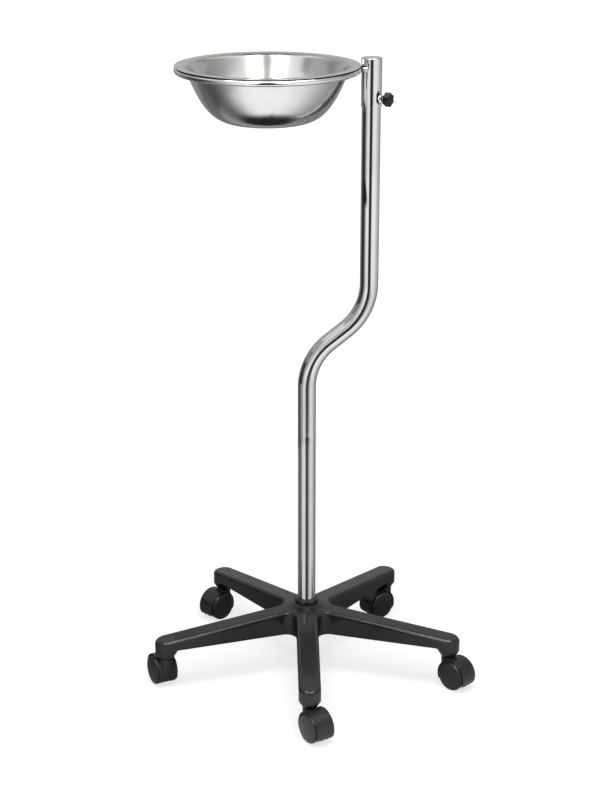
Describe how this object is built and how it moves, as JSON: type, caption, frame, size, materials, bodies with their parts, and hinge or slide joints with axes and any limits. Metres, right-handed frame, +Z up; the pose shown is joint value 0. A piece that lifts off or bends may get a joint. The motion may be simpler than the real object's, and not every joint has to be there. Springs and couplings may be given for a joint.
{
  "type": "basin stand",
  "caption": "Rolling stand with a star base on hooded twin-wheel casters, an S-bent tube column and a clamped swivel ring that holds a lift-out basin.",
  "frame": {"origin": "on the floor under the middle of the stand's bounding box", "axes": "+Z up, -Y towards the viewer of the picture, +X to the right in the picture; the column's top is stepped towards +X and the basin hangs back towards -X"},
  "size_m": [0.5596, 0.5248, 1.043],
  "materials": {
    "polished_steel": "polished stainless steel, mirror bright",
    "plain_steel": "plain zinc-plated steel",
    "base_nylon": "black moulded nylon, satin",
    "caster_nylon": "black moulded nylon, smooth",
    "knob_plastic": "black moulded plastic, satin"
  },
  "bodies": {
    "stand": {"base_spider": "base_nylon", "hub_collar": "base_nylon", "column_tube": "polished_steel", "column_foot_plug": "plain_steel", "base_bolt": "plain_steel", "base_washer": "plain_steel", "caster_1_stem": "plain_steel", "caster_1_grip_ring": "plain_steel", "caster_2_stem": "plain_steel", "caster_2_grip_ring": "plain_steel", "caster_3_stem": "plain_steel", "caster_3_grip_ring": "plain_steel", "caster_4_stem": "plain_steel", "caster_4_grip_ring": "plain_steel", "caster_5_stem": "plain_steel", "caster_5_grip_ring": "plain_steel"},
    "caster_1": {"caster_1_body": "caster_nylon", "caster_1_axle": "plain_steel"},
    "caster_1_wheel_left": {"caster_1_wheel_left": "caster_nylon"},
    "caster_1_wheel_right": {"caster_1_wheel_right": "caster_nylon"},
    "caster_2": {"caster_2_body": "caster_nylon", "caster_2_axle": "plain_steel"},
    "caster_2_wheel_left": {"caster_2_wheel_left": "caster_nylon"},
    "caster_2_wheel_right": {"caster_2_wheel_right": "caster_nylon"},
    "caster_3": {"caster_3_body": "caster_nylon", "caster_3_axle": "plain_steel"},
    "caster_3_wheel_left": {"caster_3_wheel_left": "caster_nylon"},
    "caster_3_wheel_right": {"caster_3_wheel_right": "caster_nylon"},
    "caster_4": {"caster_4_body": "caster_nylon", "caster_4_axle": "plain_steel"},
    "caster_4_wheel_left": {"caster_4_wheel_left": "caster_nylon"},
    "caster_4_wheel_right": {"caster_4_wheel_right": "caster_nylon"},
    "caster_5": {"caster_5_body": "caster_nylon", "caster_5_axle": "plain_steel"},
    "caster_5_wheel_left": {"caster_5_wheel_left": "caster_nylon"},
    "caster_5_wheel_right": {"caster_5_wheel_right": "caster_nylon"},
    "ring_holder": {"ring_sleeve": "polished_steel", "sleeve_cap": "polished_steel", "basin_ring": "polished_steel", "clamp_nut": "polished_steel"},
    "clamp_pad": {"clamp_pad": "plain_steel"},
    "clamp_screw": {"clamp_stud": "plain_steel", "clamp_knob": "knob_plastic"},
    "basin": {"basin": "polished_steel"}
  },
  "joints": [
    {"name": "caster_1_swivel", "type": "hinge", "parent": "stand", "child": "caster_1", "pos_m": [-0.00122, -0.21359, 0], "axis": [0, 0, 1], "continuous": true},
    {"name": "caster_1_left_roll", "type": "hinge", "parent": "caster_1", "child": "caster_1_wheel_left", "pos_m": [0.00884, -0.22851, 0.02469], "axis": [0.829, 0.5592, 0], "continuous": true},
    {"name": "caster_1_right_roll", "type": "hinge", "parent": "caster_1", "child": "caster_1_wheel_right", "pos_m": [0.00884, -0.22851, 0.02469], "axis": [0.829, 0.5592, 0], "continuous": true},
    {"name": "caster_2_swivel", "type": "hinge", "parent": "stand", "child": "caster_2", "pos_m": [0.23349, -0.03672, 0], "axis": [0, 0, 1], "continuous": true},
    {"name": "caster_2_left_roll", "type": "hinge", "parent": "caster_2", "child": "caster_2_wheel_left", "pos_m": [0.24644, -0.04923, 0.02469], "axis": [0.6947, 0.7193, 0], "continuous": true},
    {"name": "caster_2_right_roll", "type": "hinge", "parent": "caster_2", "child": "caster_2_wheel_right", "pos_m": [0.24644, -0.04923, 0.02469], "axis": [0.6947, 0.7193, 0], "continuous": true},
    {"name": "caster_3_swivel", "type": "hinge", "parent": "stand", "child": "caster_3", "pos_m": [0.13781, 0.24116, 0], "axis": [0, 0, 1], "continuous": true},
    {"name": "caster_3_left_roll", "type": "hinge", "parent": "caster_3", "child": "caster_3_wheel_left", "pos_m": [0.12343, 0.23033, 0.02469], "axis": [0.6018, -0.7986, 0], "continuous": true},
    {"name": "caster_3_right_roll", "type": "hinge", "parent": "caster_3", "child": "caster_3_wheel_right", "pos_m": [0.12343, 0.23033, 0.02469], "axis": [0.6018, -0.7986, 0], "continuous": true},
    {"name": "caster_4_swivel", "type": "hinge", "parent": "stand", "child": "caster_4", "pos_m": [-0.15604, 0.23603, 0], "axis": [0, 0, 1], "continuous": true},
    {"name": "caster_4_left_roll", "type": "hinge", "parent": "caster_4", "child": "caster_4_wheel_left", "pos_m": [-0.16877, 0.2233, 0.02469], "axis": [0.7071, -0.7071, 0], "continuous": true},
    {"name": "caster_4_right_roll", "type": "hinge", "parent": "caster_4", "child": "caster_4_wheel_right", "pos_m": [-0.16877, 0.2233, 0.02469], "axis": [0.7071, -0.7071, 0], "continuous": true},
    {"name": "caster_5_swivel", "type": "hinge", "parent": "stand", "child": "caster_5", "pos_m": [-0.24197, -0.04502, 0], "axis": [0, 0, 1], "continuous": true},
    {"name": "caster_5_left_roll", "type": "hinge", "parent": "caster_5", "child": "caster_5_wheel_left", "pos_m": [-0.25014, -0.02898, 0.02469], "axis": [-0.891, -0.454, 0], "continuous": true},
    {"name": "caster_5_right_roll", "type": "hinge", "parent": "caster_5", "child": "caster_5_wheel_right", "pos_m": [-0.25014, -0.02898, 0.02469], "axis": [-0.891, -0.454, 0], "continuous": true},
    {"name": "ring_swivel", "type": "hinge", "parent": "stand", "child": "ring_holder", "pos_m": [0.09441, 0.03637, 1.003], "axis": [0, 0, 1], "continuous": true},
    {"name": "clamp_travel", "type": "slide", "parent": "ring_holder", "child": "clamp_pad", "axis": [0.848, -0.5299, 0], "range_m": [0, 0.002]},
    {"name": "knob_turn", "type": "hinge", "parent": "clamp_pad", "child": "clamp_screw", "pos_m": [0.09441, 0.03637, 0.98], "axis": [0.848, -0.5299, 0], "range_deg": [0, 720]},
    {"name": "basin_lift", "type": "slide", "parent": "ring_holder", "child": "basin", "axis": [0, 0, 1], "range_m": [0, 0.12]}
  ],
  "couplings": [
    {"joint": "clamp_travel", "follows": "knob_turn", "m_per_rad": 0.00015915}
  ]
}
